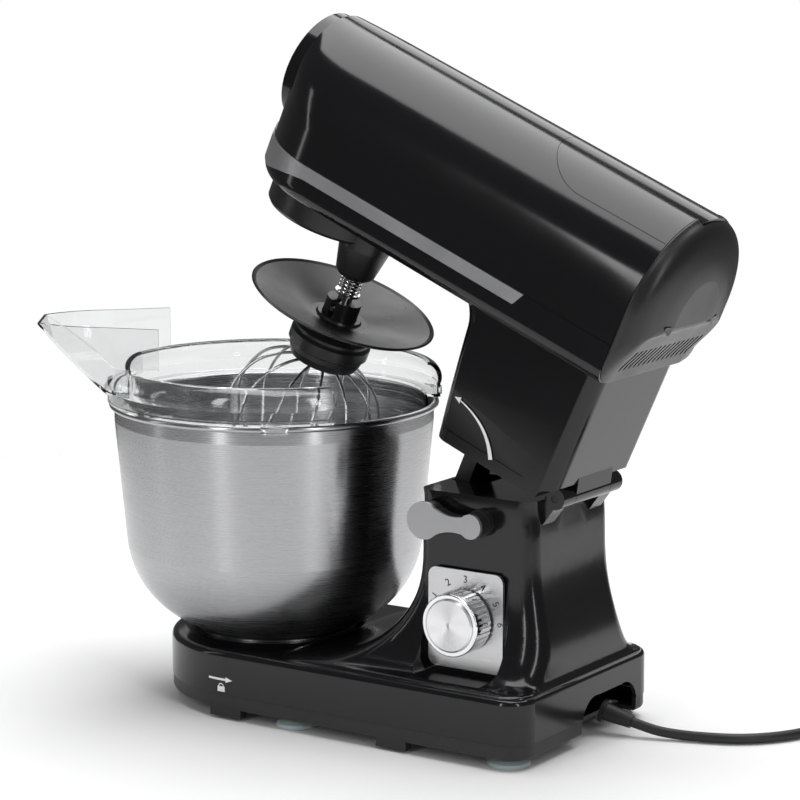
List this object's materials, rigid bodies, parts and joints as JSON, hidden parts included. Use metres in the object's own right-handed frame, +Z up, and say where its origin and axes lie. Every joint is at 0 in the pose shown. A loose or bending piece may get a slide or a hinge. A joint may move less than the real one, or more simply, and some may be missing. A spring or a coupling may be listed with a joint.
{
  "type": "stand mixer",
  "caption": "Tilt-head kitchen stand mixer with a steel bowl, clear splash guard with chute, balloon whisk, lever and speed dial, head raised.",
  "frame": {"origin": "on the bench, under the middle of the mixer's outline without the cord", "axes": "+Z up, the nose and the bowl towards -Y, the lever and the dial on +X; stored with the head raised"},
  "size_m": [0.2861, 0.6108, 0.4634],
  "materials": {
    "black_gloss": "high gloss moulded plastic",
    "black_satin": "satin moulded plastic",
    "silver_satin": "satin silver",
    "brushed_plate": "brushed",
    "chrome": "bright chrome",
    "spun_aluminium": "spun face",
    "stainless": "brushed stainless steel",
    "steel": "machined steel",
    "clear_plastic": "clear polycarbonate",
    "foot_rubber": "translucent soft plastic",
    "cord_rubber": "black flexible plastic",
    "cast_alloy": "die cast",
    "nylon": "nylon",
    "copper": "enamelled copper wire",
    "board": "circuit board",
    "bronze": "sintered bronze"
  },
  "bodies": {
    "base": {"base_shell": "black_gloss", "base_plate": "black_satin", "suction_feet": "foot_rubber", "base_screws": "steel", "bowl_seat": "black_satin", "dial_plate": "brushed_plate", "speed_switch": "black_satin", "control_board": "board", "tilt_switch": "black_satin", "hinge_pin": "steel", "lever_spring": "steel", "power_cord": "cord_rubber", "cord_coil": "cord_rubber", "strain_relief": "cord_rubber", "power_plug": "cord_rubber"},
    "lever": {"lever_body": "black_satin", "lever_face": "silver_satin", "latch_hook": "steel"},
    "knob": {"speed_knob": "chrome", "knob_face": "spun_aluminium"},
    "bowl": {"bowl": "stainless", "bowl_foot": "stainless"},
    "guard": {"splash_guard": "clear_plastic"},
    "head": {"upper_shell": "black_gloss", "lower_shell": "black_gloss", "side_strip": "silver_satin", "rear_cover": "black_satin", "lock_tongue": "black_satin", "ring_gear": "nylon", "gearbox_plate": "cast_alloy", "gearbox_cover": "cast_alloy", "gearbox_screws": "steel", "drive_belt": "cord_rubber", "motor_frame": "cast_alloy", "lower_bearing": "cast_alloy", "stator_core": "steel", "field_windings": "copper", "brush_holders": "bronze"},
    "front_cap": {"front_cap": "black_gloss"},
    "top_lid": {"top_lid": "black_gloss"},
    "rotor": {"motor_shaft": "steel", "armature": "steel", "cooling_fan": "black_satin", "motor_pulley": "steel", "speed_coupling": "black_satin"},
    "pinion": {"pinion_shaft": "steel", "large_pulley": "nylon"},
    "planetary": {"planet_hub": "black_satin", "beater_bushing": "bronze", "main_shaft": "steel", "main_gear": "nylon"},
    "outlet": {"outlet_shaft": "steel"},
    "beater_drive": {"planet_gear": "steel", "beater_shaft": "chrome", "cross_pin": "chrome", "shaft_spring": "chrome", "spring_washer": "chrome"},
    "whisk": {"whisk_hub": "black_satin", "whisk_wires": "chrome", "splash_disc": "black_satin"}
  },
  "joints": [
    {"name": "head_tilt", "type": "hinge", "parent": "base", "child": "head", "pos_m": [0, 0.14639, 0.1669], "axis": [-1, 0, 0], "range_deg": [-23.3, 0]},
    {"name": "tilt_lever", "type": "hinge", "parent": "base", "child": "lever", "pos_m": [0.055, 0.10089, 0.1486], "axis": [1, 0, 0], "range_deg": [-25, 0], "stiffness_Nm_per_rad": 0.05},
    {"name": "speed_dial", "type": "hinge", "parent": "base", "child": "knob", "pos_m": [0.055, 0.09089, 0.085], "axis": [-1, 0, 0], "range_deg": [-30, 180]},
    {"name": "bowl_twist", "type": "hinge", "parent": "base", "child": "bowl", "pos_m": [0, -0.09711, 0.047], "axis": [0, 0, 1], "range_deg": [0, 20]},
    {"name": "guard_lift", "type": "slide", "parent": "bowl", "child": "guard", "axis": [0, 0, 1], "range_m": [0, 0.012]},
    {"name": "front_cap_pull", "type": "slide", "parent": "head", "child": "front_cap", "axis": [0, -0.9184, 0.3955], "range_m": [0, 0.025]},
    {"name": "top_lid_lift", "type": "slide", "parent": "head", "child": "top_lid", "axis": [0, 0.3955, 0.9184], "range_m": [0, 0.03]},
    {"name": "planetary_spin", "type": "hinge", "parent": "head", "child": "planetary", "pos_m": [0, -0.04438, 0.33954], "axis": [0, 0.3955, 0.9184], "continuous": true},
    {"name": "beater_spin", "type": "hinge", "parent": "planetary", "child": "beater_drive", "pos_m": [0.00749, -0.03182, 0.27969], "axis": [0, 0.3955, 0.9184], "continuous": true},
    {"name": "pinion_spin", "type": "hinge", "parent": "head", "child": "pinion", "pos_m": [0, 0.00818, 0.36045], "axis": [0, 0.3955, 0.9184], "continuous": true},
    {"name": "motor_spin", "type": "hinge", "parent": "head", "child": "rotor", "pos_m": [0, 0.12864, 0.24325], "axis": [0, 0.3955, 0.9184], "continuous": true},
    {"name": "outlet_spin", "type": "hinge", "parent": "head", "child": "outlet", "pos_m": [0, -0.03269, 0.41725], "axis": [0, -0.9184, 0.3955], "continuous": true},
    {"name": "whisk_push", "type": "slide", "parent": "beater_drive", "child": "whisk", "axis": [0, 0.3955, 0.9184], "range_m": [0, 0.003], "stiffness_N_per_m": 400, "springref_m": -0.008}
  ],
  "couplings": [
    {"joint": "beater_spin", "follows": "planetary_spin", "ratio": -5.5},
    {"joint": "pinion_spin", "follows": "planetary_spin", "ratio": -4},
    {"joint": "motor_spin", "follows": "planetary_spin", "ratio": -13.333},
    {"joint": "outlet_spin", "follows": "planetary_spin", "ratio": 1}
  ]
}
